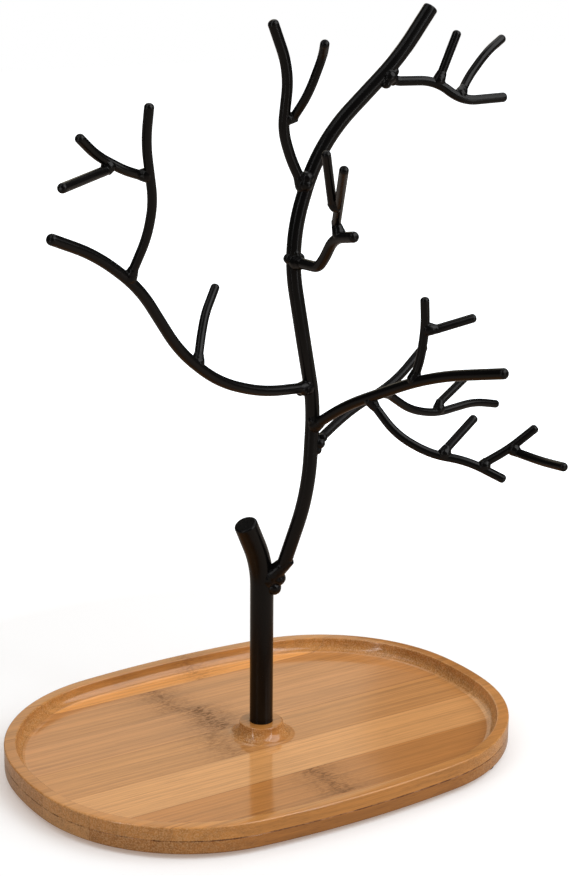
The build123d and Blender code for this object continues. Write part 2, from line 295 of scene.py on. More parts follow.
grained = add(tree, "ShaderNodeVectorMath", {0: grained.outputs[0],
                                             1: low_side_painted_shade.outputs["Result"]},
              operation="MULTIPLY")

# %% [markdown]
# ### Knuckles
#
# At a knuckle the fibres tangle. The strip shows a patch of short brown dashes, and a
# faint line across it. Two bell curves fall away from the knuckle, a narrow one for
# the line and a wide one for the patch. A slow noise makes both ragged, and a noise
# as fine as the dashes breaks up the patch.

# %% Bamboo: knuckles
LINE_HALF_WIDTH, PATCH_HALF_WIDTH, WANDER = 1.6, 13.0, 16
LINE_STRENGTH = 0.12
KNUCKLE_BROWN = "#70451f"

chart_values = add(tree, "ShaderNodeSeparateColor", {0: knuckle_chart.outputs["Color"]})
minus_knuckle_x = add(tree, "ShaderNodeMath", {0: chart_values.outputs[0], 1: -KNUCKLE_SPAN,
                                               2: KNUCKLE_SPAN / 2},
                      operation="MULTIPLY_ADD")
ragged = add(tree, "ShaderNodeTexNoise", {"Vector": in_mm, "Scale": 0.11,
                                          "Detail": 5.0, "Roughness": 0.7})
wander = add(tree, "ShaderNodeMath", {0: ragged.outputs["Fac"], 1: WANDER, 2: -WANDER / 2},
             operation="MULTIPLY_ADD")
from_knuckle = add(tree, "ShaderNodeMath", {0: along, 1: minus_knuckle_x.outputs[0]},
                   operation="ADD")
from_knuckle = add(tree, "ShaderNodeMath", {0: from_knuckle.outputs[0],
                                            1: wander.outputs[0]}, operation="ADD")
bells = []
for half_width in (LINE_HALF_WIDTH, PATCH_HALF_WIDTH):
    scaled = add(tree, "ShaderNodeMath", {0: from_knuckle.outputs[0], 1: half_width},
                 operation="DIVIDE")
    squared = add(tree, "ShaderNodeMath", {0: scaled.outputs[0], 1: scaled.outputs[0]},
                  operation="MULTIPLY")
    below = add(tree, "ShaderNodeMath", {0: squared.outputs[0], 1: 1.0}, operation="ADD")
    bell = add(tree, "ShaderNodeMath", {0: 1.0, 1: below.outputs[0]}, operation="DIVIDE")
    bell = add(tree, "ShaderNodeMath", {0: bell.outputs[0], 1: 2.0}, operation="POWER")
    bells.append(bell.outputs[0])
dash_place = add(tree, "ShaderNodeVectorMath", {0: in_mm, 1: (0.3, 1, 1)},
                 operation="MULTIPLY")
dashes = add(tree, "ShaderNodeTexNoise", {"Vector": dash_place.outputs[0], "Scale": 1.3,
                                          "Detail": 2.0, "Roughness": 0.6})
mottle = add(tree, "ShaderNodeMapRange", {"Value": dashes.outputs["Fac"], "From Min": 0.48,
                                          "From Max": 0.54, "To Min": 0.3,
                                          "To Max": 0.85})
patch = add(tree, "ShaderNodeMath", {0: mottle.outputs["Result"], 1: bells[1]},
            operation="MULTIPLY")
line = add(tree, "ShaderNodeMath", {0: bells[0], 1: LINE_STRENGTH, 2: patch.outputs[0]},
           operation="MULTIPLY_ADD")
knuckle = add(tree, "ShaderNodeMath", {0: line.outputs[0], 1: chart_values.outputs[1]},
              operation="MULTIPLY", use_clamp=True)
knotted = add(tree, "ShaderNodeMix", {"Factor": knuckle.outputs[0],
                                      "A": grained.outputs[0],
                                      "B": linear(KNUCKLE_BROWN)}, data_type="RGBA")

# %% [markdown]
# ### Joints and seam
#
# Between two strips the glue shows as a thin dark line that comes and goes. On the
# side wall the seam between the plies is a wider line, filled with dirt and lacquer
# in some places and tight in others.

# %% Bamboo: joints and seam
GLUE_START, GLUE_STRENGTH = 0.48, 0.6
SEAM_HALF_WIDTH, SEAM_CORE = 0.42, 0.16
GLUE_BROWN = "#5f3513"

from_joint = add(tree, "ShaderNodeMath", {0: strip.outputs[0]}, operation="FRACT")
from_joint = add(tree, "ShaderNodeMath", {0: from_joint.outputs[0], 1: 0.5},
                 operation="SUBTRACT")
from_joint = add(tree, "ShaderNodeMath", {0: from_joint.outputs[0]}, operation="ABSOLUTE")
glue = add(tree, "ShaderNodeMapRange", {"Value": from_joint.outputs[0],
                                        "From Min": GLUE_START, "From Max": 0.5,
                                        "To Max": GLUE_STRENGTH})
glue_gaps = add(tree, "ShaderNodeMapRange", {"Value": broad, "From Min": 0.42,
                                             "From Max": 0.62})
glue = add(tree, "ShaderNodeMath", {0: glue.outputs["Result"],
                                    1: glue_gaps.outputs["Result"]}, operation="MULTIPLY")
seam = add(tree, "ShaderNodeMath", {0: height, 1: PLY_SEAM_HEIGHT}, operation="SUBTRACT")
seam = add(tree, "ShaderNodeMath", {0: seam.outputs[0]}, operation="ABSOLUTE")
seam = add(tree, "ShaderNodeMapRange", {"Value": seam.outputs[0],
                                        "From Min": SEAM_HALF_WIDTH, "From Max": SEAM_CORE})
seam = add(tree, "ShaderNodeMath", {0: seam.outputs["Result"], 1: upright.outputs["Result"]},
           operation="MULTIPLY")
filled = add(tree, "ShaderNodeMapRange", {"Value": ragged.outputs["Fac"], "From Min": 0.4,
                                          "From Max": 0.56, "To Min": 0.1, "To Max": 1.0})
seam = add(tree, "ShaderNodeMath", {0: seam.outputs[0], 1: filled.outputs["Result"]},
           operation="MULTIPLY")
dark_lines = add(tree, "ShaderNodeMath", {0: seam.outputs[0], 1: glue.outputs[0]},
                 operation="MAXIMUM")
jointed = add(tree, "ShaderNodeMix", {"Factor": dark_lines.outputs[0],
                                      "A": knotted.outputs["Result"],
                                      "B": linear(GLUE_BROWN)}, data_type="RGBA")

# %% [markdown]
# ### Specks
#
# Where the cutter crossed the fibres, at the tray's ends and round the boss, their
# cut ends show as pale specks: partly the cut fibre ends' own colour, partly painted
# glints. Faces that look along X get them most. Real ones are half this size, too small to show.

# %% Bamboo: specks
# pale specks: partly the cut fibre ends' own colour, partly painted glints
SPECKS_PER_MM, SPECK_STRENGTH, SPECK_AND_GLINT_PALE = 1.5, 0.5, "#e4b47c"

speck_noise = add(tree, "ShaderNodeTexNoise", {"Vector": in_mm, "Scale": SPECKS_PER_MM,
                                               "Detail": 2.0, "Roughness": 0.6})
speck_and_glint_mask = add(tree, "ShaderNodeMapRange", {"Value": speck_noise.outputs["Fac"],
                                          "From Min": 0.42, "From Max": 0.66,
                                          "To Max": SPECK_STRENGTH})
crossed = add(tree, "ShaderNodeMath", {0: facing_axes.outputs["X"]}, operation="ABSOLUTE")
crossed = add(tree, "ShaderNodeMapRange", {"Value": crossed.outputs[0], "From Min": 0.1,
                                           "From Max": 0.5})
speck_and_glint_mask = add(tree, "ShaderNodeMath", {0: speck_and_glint_mask.outputs["Result"],
                                      1: crossed.outputs["Result"]}, operation="MULTIPLY")
# mixes in the pale specks, which are partly painted glints
speckled_and_glinted = add(tree, "ShaderNodeMix", {"Factor": speck_and_glint_mask.outputs[0],
                                       "A": jointed.outputs["Result"],
                                       "B": linear(SPECK_AND_GLINT_PALE)}, data_type="RGBA")
tree.links.new(speckled_and_glinted.outputs["Result"], shader.inputs["Base Color"])

# %% [markdown]
# ### Lacquer
#
# A smooth clear coat lies over the wood, which itself is rough. It mirrors a pale
# panel behind the tree, and the trunk stands in that mirror image as a warm dark
# band. The film sank in at knuckles and joints, so it is thinner there.

# %% Bamboo: lacquer
WOOD_ROUGHNESS, WOOD_SPECULAR = 0.55, 0.2
FILM_ROUGHNESS, THINNEST_FILM = 0.12, 0.2

grain_bump = add(tree, "ShaderNodeBump", {"Height": fibres.outputs[0], "Strength": 0.25,
                                          "Distance": 0.08 * MM})
tree.links.new(grain_bump.outputs["Normal"], shader.inputs["Normal"])
shader.inputs["Roughness"].default_value = WOOD_ROUGHNESS
shader.inputs["Specular IOR Level"].default_value = WOOD_SPECULAR
sunken = add(tree, "ShaderNodeMath", {0: knuckle.outputs[0], 1: dark_lines.outputs[0]},
             operation="MAXIMUM")
film = add(tree, "ShaderNodeMapRange", {"Value": sunken.outputs[0], "To Min": 1.0,
                                        "To Max": THINNEST_FILM})
tree.links.new(film.outputs["Result"], shader.inputs["Coat Weight"])
shader.inputs["Coat Roughness"].default_value = FILM_ROUGHNESS

# %% [markdown]
# ## Rubber and zinc-plated steel
#
# The feet are stamped from soft black rubber: dull, with a dusty unevenness. The
# screw and washer under the tray are zinc plated, a pale metal with a cloudy
# crystalline bloom. Both patterns are as large as they are on such parts.

# %% Rubber and zinc
RUBBER_BLACK, RUBBER_DUSTY, DUST_PER_MM = "#151414", "#35322f", 0.7
ZINC_GREY, ZINC_PALE, BLOOM_PER_MM = "#b9bdc4", "#d6d5cf", 1.4

rubber, tree, shader = new_material("Die-cut rubber, matt black")
dust = add(tree, "ShaderNodeTexNoise", {"Vector": place_in_mm(tree), "Scale": DUST_PER_MM,
                                        "Detail": 5.0})
tone = add(tree, "ShaderNodeMix", {"Factor": dust.outputs["Fac"],
                                   "A": linear(RUBBER_BLACK), "B": linear(RUBBER_DUSTY)},
           data_type="RGBA")
skin = add(tree, "ShaderNodeBump", {"Height": dust.outputs["Fac"], "Strength": 0.3,
                                    "Distance": 0.1 * MM})
tree.links.new(tone.outputs["Result"], shader.inputs["Base Color"])
tree.links.new(skin.outputs["Normal"], shader.inputs["Normal"])
shader.inputs["Roughness"].default_value = 0.8

zinc, tree, shader = new_material("Zinc-plated steel, bright")
bloom = add(tree, "ShaderNodeTexVoronoi", {"Vector": place_in_mm(tree),
                                           "Scale": BLOOM_PER_MM})
tone = add(tree, "ShaderNodeMix", {"Factor": bloom.outputs["Distance"],
                                   "A": linear(ZINC_GREY), "B": linear(ZINC_PALE)},
           data_type="RGBA")
gloss = add(tree, "ShaderNodeMapRange", {"Value": bloom.outputs["Distance"],
                                         "To Min": 0.22, "To Max": 0.4})
tree.links.new(tone.outputs["Result"], shader.inputs["Base Color"])
tree.links.new(gloss.outputs["Result"], shader.inputs["Roughness"])
shader.inputs["Metallic"].default_value = 1.0

for node_name, material in (("rubber_feet", rubber), ("trunk_screw", zinc),
                            ("trunk_washer", zinc)):
    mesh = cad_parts[node_name].data
    mesh.materials.clear()
    mesh.materials.append(material)

# %% [markdown]
# ## Routes of the rods
#
# On the real tree each rod is cut from bar and bent cold in a few places. A freehand
# curve would lose that look. So each rod is a short list of way-points, with straight
# runs joined by arcs. An arc takes up 45 % of the shorter run beside it.
#
# Way-points count from where the rod meets its parent, and the first number of each
# rod is how far along the parent that is. All are in millimetres.

# %% Way-points of the twenty-five rods
TRUNK, STEM, BOUGH, LIMB, TWIG = 10.3, 6.2, 4.5, 4.0, 3.7
SOCKET_FLOOR = 10.0
#  name: (parent, reach, diameter, butted, way-points)
RODS = {
    "trunk_post": (None, 0, TRUNK, False, [(0, 0, 78), (-10, -2.5, 99)]),
    "main_stem": ("trunk_post", 69, STEM, True, [
        (6.5, -7.5, 10), (12, -18, 45), (14, -18, 84), (7.5, -21, 108), (1, -18, 152),
        (14, -19.5, 193), (47, -28, 227), (61.5, -29, 246.5)]),
    "left_bough": ("main_stem", 83.5, BOUGH, False, [
        (-27, -5.5, 2.5), (-50, -9.5, 10.5), (-70, -13.5, 26), (-92.5, -22.5, 56),
        (-111.5, -25, 70.5), (-133, -30, 79.5)]),
    "left_riser": ("left_bough", 121.5, TWIG, False, [
        (3.5, -8.5, 17.5), (3.5, -13.5, 31), (-2, -18.5, 53.5), (-3, -23.5, 68)]),
    "left_riser_fork": ("left_riser", 45, TWIG, True, [
        (-3, 2.5, 0), (-10.5, -0.5, 2.5), (-22, -1.5, 8.5), (-31.5, -6, 16.5)]),
    "left_riser_tine": ("left_riser_fork", 15.5, TWIG, True, [(-1, 0, -2.5), (-30.5, -23, -4)]),
    "left_bough_twig": ("left_bough", 66.5, TWIG, False, [
        (5, 5.5, 11), (8.5, 8.5, 18.5), (16, 12.5, 29)]),
    "crown_left_bough": ("main_stem", 168, BOUGH, False, [
        (-6.5, 1, 13), (-11, 0, 25), (-11, -4.5, 48.5), (-19.5, -5, 68.5)]),
    "crown_left_twig": ("crown_left_bough", 32, TWIG, True, [
        (4, -0.5, 0), (4, -11.5, 10.5), (6.5, -17.5, 25.5), (2.5, -25, 31.5)]),
    "crown_right_bough": ("main_stem", 226, LIMB, False, [
        (4.5, -1, -3.5), (21, -6, -3.5), (32, -10.5, -12), (52, -14, -11)]),
    "crown_right_near_twig": ("crown_right_bough", 24, TWIG, False, [(10, 0.5, 21)]),
    "crown_right_far_twig": ("crown_right_bough", 35, TWIG, False, [
        (7.5, 4.5, 7), (17.5, 5.5, 17), (29, 9, 22.5)]),
    "front_crook": ("main_stem", 138.5, BOUGH, False, [
        (0.5, -17.5, 0.5), (0.3, -22.3, 5), (-1.2, -31.3, 14.8), (-1.5, -46.8, 17.6)]),
    "front_crook_twig": ("front_crook", 41, TWIG, True, [(-0.5, 2.1, 5.5), (-19, -30.1, 32.2)]),
    "front_crook_fork": ("front_crook_twig", 14, TWIG, True, [
        (-2.7, 0.3, 1.6), (-12.5, -9.5, 23.1)]),
    "right_bough": ("main_stem", 65.5, BOUGH, False, [
        (4, -19.5, 13.5), (15, -61.5, 33.5), (23, -99.5, 42)]),
    "right_riser": ("right_bough", 62, TWIG, False, [
        (1.5, -3, 10), (2, -5, 24), (0.5, -6, 36)]),
    "right_riser_twig": ("right_riser", 23.5, TWIG, True, [(4, -2.5, 0), (19.5, -7.5, 4)]),
    "low_bough": ("right_bough", 37, TWIG, False, [
        (7.5, -9.5, -14.5), (18, -19, -22), (30.5, -28, -24.5), (42.5, -38, -32)]),
    "low_near_twig": ("low_bough", 40, TWIG, True, [(1.5, 0, 3), (16.5, 0.5, 14.5)]),
    "low_far_twig": ("low_bough", 57, TWIG, True, [
        (1.5, 0, 2.5), (9, -5.5, 8.5), (18, -11.5, 18)]),
    "low_end_twig": ("low_far_twig", 12, TWIG, True, [
        (1.5, -2.5, -2), (1, -18.5, -1.5), (-0.5, -34.5, 0.5)]),
    "rear_bough": ("main_stem", 56.5, LIMB, False, [
        (21, 1, 13.5), (41.5, -1, 22.5), (59.5, 1, 37)]),
    "rear_branch": ("rear_bough", 41.5, TWIG, False, [
        (17.5, 3, -12), (32.5, 4.5, -16), (57, 8.5, -15), (72, 10, -18.5)]),
    "rear_branch_twig": ("rear_branch", 38.5, TWIG, True, [(1, 0.5, 4), (17.5, 0.5, 15.5)]),
}

# %% From way-points to a route
BEND_SHARE = 0.45
ARC_STEP = math.radians(2)
RUN_STEP = 3.0


def bent_route(points):
    """Points along the rod's axis: straight runs, and an arc at each way-point."""
    route = [points[0]]
    for before, here, after in zip(points, points[1:], points[2:]):
        arriving, leaving = (here - before), (after - here)
        cut = BEND_SHARE * min(arriving.length, leaving.length)
        arriving, leaving = arriving.normalized(), leaving.normalized()
        turn = arriving.angle(leaving)
        inwards = (leaving - arriving * arriving.dot(leaving)).normalized()
        radius = cut / math.tan(turn / 2)
        centre = here - arriving * cut + inwards * radius
        steps = max(2, math.ceil(turn / ARC_STEP))
        for step in range(steps + 1):
            angle = turn * step / steps
            route.append(centre - inwards * radius * math.cos(angle)
                         + arriving * radius * math.sin(angle))
    route.append(points[-1])
    fine_route = [route[0]]
    for start, end in zip(route, route[1:]):
        pieces = max(1, math.ceil((end - start).length / RUN_STEP))
        fine_route += [start.lerp(end, piece / pieces) for piece in range(1, pieces + 1)]
    return fine_route


def along_route(route, reach):
    """The point at this distance along a route, and the direction there."""
    for start, end in zip(route, route[1:]):
        step = (end - start).length
        if reach <= step:
            return start.lerp(end, reach / step), (end - start).normalized()
        reach -= step
    return route[-1], (route[-1] - route[-2]).normalized()


# %% Lay the routes out, parents first
feet_of_rods, routes = {}, {}
for name, (parent, reach, diameter, butted, bends) in RODS.items():
    foot = AXIS + Vector((0, 0, SOCKET_FLOOR)) if parent is None else along_route(
        routes[parent], reach)[0]
    points = [foot + Vector(bend) for bend in bends]
    routes[name] = bent_route(points if butted else [foot] + points)
    feet_of_rods[name] = foot
print("rod length in mm:", round(sum(
    (b - a).length for route in routes.values() for a, b in zip(route, route[1:]))))

# %% [markdown]
# ## Sweeping the rods
#
# A rod is a disc carried along its route, so Geometry Nodes make all twenty-five from
# one tree: the route's edges become a curve, and a circle follows it. A number on each
# point, the girth, says how thick the rod is there. It falls away over the last
# millimetre or two, which gives the twigs their domed tips. The trunk and the stem are
# cut square, and only the coating rounds their rims.

# %% Helpers: start and end a tree of Geometry Nodes
def new_tree(name, inputs, output):
    """A tree with these inputs, label to kind of socket, and its group input node."""
    tree = bpy.data.node_groups.new(name, "GeometryNodeTree")
    for label, kind in inputs.items():
        tree.interface.new_socket(label, in_out="INPUT", socket_type=f"NodeSocket{kind}")
    tree.interface.new_socket(output, in_out="OUTPUT", socket_type="NodeSocketGeometry")
    return tree, add(tree, "NodeGroupInput")


def end_tree(tree, geometry, material):
    """Shade smooth, make instances real, because the export drops them, and coat."""
    smooth = add(tree, "GeometryNodeSetShadeSmooth", {0: geometry})
    plain = add(tree, "GeometryNodeRealizeInstances", {0: smooth.outputs[0]})
    finished = add(tree, "GeometryNodeSetMaterial", {0: plain.outputs[0],
                                                     "Material": material})
    add(tree, "NodeGroupOutput", {0: finished.outputs[0]})


# %% A tree that sweeps a rod
sweep_tree, given = new_tree("Sweep a rod along its route", {
    "Route": "Geometry", "Radius": "Float", "Sides": "Int", "Finish": "Material"}, "Rod")
line = add(sweep_tree, "GeometryNodeMeshToCurve", {"Mesh": given.outputs["Route"]})
disc = add(sweep_tree, "GeometryNodeCurvePrimitiveCircle", {
    "Resolution": given.outputs["Sides"], "Radius": given.outputs["Radius"]})
girth = add(sweep_tree, "GeometryNodeInputNamedAttribute", {"Name": "girth"})
tube = add(sweep_tree, "GeometryNodeCurveToMesh", {
    "Curve": line.outputs[0], "Profile Curve": disc.outputs["Curve"],
    "Scale": girth.outputs["Attribute"], "Fill Caps": True})
end_tree(sweep_tree, tube.outputs[0], given.outputs["Finish"])


# %% Helpers: set a tree's inputs, and keep its result as a plain mesh
def use_tree(piece, node_tree, **values):
    modifier = piece.modifiers.new(node_tree.name, "NODES")
    modifier.node_group = node_tree
    for item in node_tree.interface.items_tree:
        if item.in_out == "INPUT" and item.name.replace(" ", "_") in values:
            modifier[item.identifier] = values[item.name.replace(" ", "_")]


def keep_result(piece):
    """Turns the evaluated piece into a plain mesh and drops its modifiers."""
    bpy.context.view_layer.update()
    evaluated = piece.evaluated_get(bpy.context.evaluated_depsgraph_get())
    mesh = bpy.data.meshes.new_from_object(evaluated)
    piece.modifiers.clear()
    piece.data = mesh
    mesh.name = piece.name
    return piece


def new_piece(name, vertices, edges=(), faces=()):
    mesh = bpy.data.meshes.new(name)
    mesh.from_pydata([Vector(vertex) * MM for vertex in vertices], edges, faces)
    piece = bpy.data.objects.new(name, mesh)
    bpy.context.scene.collection.objects.link(piece)
    return piece


# %% Round the ends, and make the rods
DOME_SHARE, CUT_ROUND, FOOT_ROUND, END_STEPS = 0.8, 0.9, 0.35, 9
SIDES = 32


def with_ends(route, radius, foot_round, tip_round):
    """The route with extra points near its ends, and the girth at every point."""
    length = sum((b - a).length for a, b in zip(route, route[1:]))
    stations, run = [(0.0, route[0])], 0.0
    for start, end in zip(route, route[1:]):
        run += (end - start).length
        stations.append((run, end))
    inner = [point for run, point in stations if foot_round < run < length - tip_round]
    foot_part, tip_part = [], []
    for step in range(END_STEPS + 1):
        angle = math.pi / 2 * step / END_STEPS
        lift, share = 1 - math.sin(angle), math.cos(angle)
        if foot_round:
            foot_part.append((along_route(route, foot_round * lift)[0],
                              1 - foot_round * (1 - share) / radius))
        tip_part.append((along_route(route, length - tip_round * lift)[0],
                         1 - tip_round * (1 - share) / radius))
    pairs = foot_part[::-1] + [(point, 1.0) for point in inner] + tip_part
    if not foot_round:
        pairs.insert(0, (route[0], 1.0))
    return [point for point, _ in pairs], [share for _, share in pairs]


for name, (parent, reach, diameter, butted, bends) in RODS.items():
    square_cut = name in ("trunk_post", "main_stem")
    points, shares = with_ends(routes[name], diameter / 2, FOOT_ROUND if butted else 0,
                               CUT_ROUND if square_cut else DOME_SHARE * diameter / 2)
    edges = [(number, number + 1) for number in range(len(points) - 1)]
    rod = new_piece(f"{name}_rod", points, edges)
    rod.data.attributes.new("girth", "FLOAT", "POINT").data.foreach_set("value", shares)
    use_tree(rod, sweep_tree, Radius=diameter / 2 * MM, Sides=SIDES, Finish=powder_coat)
    keep_result(rod)
    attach(rod, "root")
    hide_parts(name)
print("rods made:", len(RODS))

# %% [markdown]
# ## Weld beads
#
# Where a rod meets its parent the welder left a blob that flows onto both. The coating
# rounds it further. A lathed shape alone would meet the rods in a hard line, so each
# bead starts as a blob, a short cone and stubs of the two rods. They are melted into
# one skin with a voxel remesh, smoothed, and given a slow ripple by a small tree.

# %% Blob, cone and stubs of one joint
BLOB_SHARE, WELD_SEAT, WELD_THROAT, WELD_TOE, NECK_SHARE = 1.4, 0.38, 1.0, 0.15, 0.85
STUB_SHARE, STUB_START, STUB_OVERRUN, STUB_STEPS = 0.97, 0.2, 2.0, 8
# where the welder fed in more rod: (place from the foot of the rod, radius), in mm
LUMPS = {
    "main_stem": [((3.6, -4.4, -1.2), 3.2), ((5.2, -5.2, 3.2), 3.3), ((4.4, -2.6, 4.6), 2.6)],
    "crown_left_bough": [((-0.3, -1.6, 5.2), 2.9), ((-0.8, -1.9, 2.6), 2.8)],
    "left_bough": [((-4.2, 1.4, -1.9), 1.9), ((-4.0, -1.2, -0.8), 2.3), ((-2.4, -1.5, 1.9), 2.0)],
    "right_bough": [((-0.9, -1.9, 3.2), 2.2), ((0.8, -1.4, 5.4), 1.7)],
    "rear_bough": [((3.4, -1.8, 1.6), 2.2), ((5.2, -1.2, 3.7), 2.0), ((2.4, -1.4, -1.2), 1.9)],
    "crown_right_bough": [((0.9, -2.3, -1.6), 2.9), ((-0.6, -2.0, -4.0), 2.3),
                          ((3.4, -1.6, 0.4), 2.1)],
    "front_crook": [((-2.2, 0.2, 1.4), 2.3), ((-0.2, -2.0, 3.8), 1.5), ((2.2, -1.9, 1.8), 1.8)],
}


def lathed(bm, origin, direction, profile, sides=28):
    """Turns (height, radius) pairs round a line into a closed shell."""
    aside = direction.orthogonal().normalized()
    square = direction.cross(aside)
    rings = []
    for height, radius in profile:
        rings.append([bm.verts.new((origin + direction * height + radius * (
            aside * math.cos(angle) + square * math.sin(angle))) * MM)
            for angle in (2 * math.pi * side / sides for side in range(sides))])
    for lower, upper in zip(rings, rings[1:]):
        for side in range(sides):
            following = (side + 1) % sides
            bm.faces.new((lower[side], lower[following], upper[following], upper[side]))
    bm.faces.new(rings[0][::-1])
    bm.faces.new(rings[-1])


def bead_profile(blob, throat, reach):
    """Sphere from its far pole round to where the cone leaves it, then the cone."""
    reach = max(reach, blob)
    slope = math.atan2(reach, throat) - math.acos(blob / math.hypot(reach, throat))
    profile = [(-blob * math.cos(math.radians(2)), blob * math.sin(math.radians(2)))]
    for step in range(1, 17):
        angle = -math.pi / 2 + (slope + math.pi / 2) * step / 16
        profile.append((blob * math.sin(angle), blob * math.cos(angle)))
    return profile + [(reach, throat)]


def add_joint(bm, name):
    parent, reach, diameter, butted, bends = RODS[name]
    radius, parent_radius = diameter / 2, RODS[parent][2] / 2
    foot, route = feet_of_rods[name], routes[name]
    heading = (route[1] - route[0]).normalized()
    lean = route[0] - foot if butted else heading
    outwards = lean.normalized()
    blob = BLOB_SHARE * radius + WELD_TOE
    centre = foot + outwards * 2 * parent_radius * WELD_SEAT
    if butted:
        profile = bead_profile(blob, radius * NECK_SHARE, lean.length)
    else:
        profile = bead_profile(blob, radius + WELD_TOE, blob + WELD_THROAT)
    lathed(bm, centre, outwards, profile)
    for place, size in LUMPS.get(name, []):
        lathed(bm, foot + Vector(place), Vector((0, 0, 1)), [
            (-size * math.cos(math.radians(angle)), size * math.sin(math.radians(angle)))
            for angle in range(6, 175, 12)])
    grip = blob + STUB_OVERRUN
    for line, start, end, thickness in (
            (routes[parent], max(STUB_START, reach - grip), reach + grip, parent_radius),
            (route, STUB_START, grip + 2 * parent_radius, radius)):
        stations = [start + (end - start) * step / STUB_STEPS
                    for step in range(STUB_STEPS + 1)]
        rings = [along_route(line, station) for station in stations]
        for (here, direction), (there, _) in zip(rings, rings[1:]):
            span = (there - here).length
            if span > 1e-6:
                lathed(bm, here, (there - here).normalized(),
                       [(0, thickness * STUB_SHARE), (span, thickness * STUB_SHARE)])


# %% A tree for the ripple
ripple_tree, given = new_tree("Ripple a bead", {
    "Bead": "Geometry", "Depth": "Float", "Waves per metre": "Float",
    "Finish": "Material"}, "Bead")
waves = add(ripple_tree, "ShaderNodeTexNoise", {"Scale": given.outputs["Waves per metre"],
                                                "Detail": 1.0})
swing = add(ripple_tree, "ShaderNodeMath", {0: waves.outputs["Fac"], 1: 0.5},
            operation="SUBTRACT")
swing = add(ripple_tree, "ShaderNodeMath", {0: swing.outputs[0], 1: given.outputs["Depth"]},
            operation="MULTIPLY")
outward = add(ripple_tree, "GeometryNodeInputNormal")
push = add(ripple_tree, "ShaderNodeVectorMath", {0: outward.outputs[0],
                                                 "Scale": swing.outputs[0]},
           operation="SCALE")
moved = add(ripple_tree, "GeometryNodeSetPosition", {0: given.outputs["Bead"],
                                                     "Offset": push.outputs[0]})
end_tree(ripple_tree, moved.outputs[0], given.outputs["Finish"])

# %% Melt the beads, one piece for each limb
VOXEL, RIPPLE, RIPPLES_PER_MM = 0.22, 0.16, 0.55
FLOW, FLOW_STEPS = 0.5, 10
LIMBS = {"stem": ["main_stem"]}
for limb in ("left", "crown", "front", "right", "low", "rear"):
    LIMBS[limb] = [name for name in RODS if name.startswith(f"{limb}_")]

for limb, names in LIMBS.items():
    beads = new_piece(f"{limb}_weld_beads", [])
    bm = bmesh.new()
    for name in names:
        add_joint(bm, name)
    bm.to_mesh(beads.data)
    bm.free()
    melt = beads.modifiers.new("melt", "REMESH")
    melt.mode, melt.voxel_size = "VOXEL", VOXEL * MM
    flow = beads.modifiers.new("flow", "SMOOTH")
    flow.factor, flow.iterations = FLOW, FLOW_STEPS
    use_tree(beads, ripple_tree, Depth=RIPPLE * 2 * MM,
             Waves_per_metre=RIPPLES_PER_MM / MM, Finish=powder_coat)
    keep_result(beads)
    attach(beads, "root")
    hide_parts(f"{limb}_welds")
    print(limb, "beads, faces:", len(beads.data.polygons))

# %% [markdown]
# ## The tray
#
# The tray is a board with an oval outline, hollowed by a ball-nosed cutter that ran
# round the rim and round a boss in the middle. Its outline is twelve arcs, so that an
# offset of it is the same arcs with other radii. A section, in millimetres inwards
# from the outline and up from the table, is carried round that outline. This gives
# the cove, the rounded rim and the seam as real shape. A subdivided box could not
# hold the outline as closely. The boss is the same kind of section carried round the
# trunk, on a circle whose points share the oval's bearings, so that the lower board
# can join the two without a gap.

# %% Outline of the tray
LENGTH, WIDTH = 230.0, 168.0
SIDE_RADIUS, END_RADIUS, CORNER_RADIUS = 2.5 * WIDTH, 0.82 * WIDTH, 0.446 * WIDTH
ROUND_STEPS = 480

side_centre = Vector((0, WIDTH / 2 - SIDE_RADIUS))
end_centre = Vector((LENGTH / 2 - END_RADIUS, 0))
gap = end_centre - side_centre
side_reach, end_reach = SIDE_RADIUS - CORNER_RADIUS, END_RADIUS - CORNER_RADIUS
along_gap = (side_reach**2 - end_reach**2 + gap.length**2) / (2 * gap.length)
off_gap = math.sqrt(side_reach**2 - along_gap**2)
crossings = [side_centre + gap.normalized() * along_gap
             + Vector((-gap.y, gap.x)).normalized() * off_gap * side for side in (1, -1)]
corner_centre = max(crossings, key=sum)
side_turn = math.atan2(*(corner_centre - side_centre))
end_turn = math.atan2(*(corner_centre - end_centre))


def quarter_outline():
    """(centre, radius, bearing) from the back middle to the right end, evenly spaced."""
    arcs = [(side_centre, SIDE_RADIUS, 0, side_turn),
            (corner_centre, CORNER_RADIUS, side_turn, end_turn),
            (end_centre, END_RADIUS, end_turn, math.pi / 2)]
    lengths = [radius * (stop - start) for _, radius, start, stop in arcs]
    stations = []
    for number in range(ROUND_STEPS // 4):
        run = sum(lengths) * number / (ROUND_STEPS // 4)
        for (centre, radius, start, stop), length in zip(arcs, lengths):
            if run <= length:
                stations.append((centre, radius, start + run / radius))
                break
            run -= length
    return stations


QUARTER = quarter_outline()
FULL_ROUND = ([(centre, radius, bearing, 1, 1) for centre, radius, bearing in QUARTER]
              + [(centre, radius, bearing, 1, -1) for centre, radius, bearing in
                 [(end_centre, END_RADIUS, math.pi / 2)] + QUARTER[:0:-1]]
              + [(centre, radius, bearing, -1, -1) for centre, radius, bearing in QUARTER]
              + [(centre, radius, bearing, -1, 1) for centre, radius, bearing in
                 [(end_centre, END_RADIUS, math.pi / 2)] + QUARTER[:0:-1]])


def oval_ring(inset, height):
    ring = []
    for centre, radius, bearing, sign_x, sign_y in FULL_ROUND:
        x = centre.x + (radius - inset) * math.sin(bearing)
        y = centre.y + (radius - inset) * math.cos(bearing)
        ring.append(AXIS + Vector((x * sign_x, y * sign_y, height)))
    return ring


def round_ring(radius, height):
    """A circle whose points lie on the same bearings as the oval's."""
    return [AXIS + Vector((point.x, point.y, 0)).normalized() * radius
            + Vector((0, 0, height))
            for point in (here - AXIS for here in oval_ring(0, 0))]


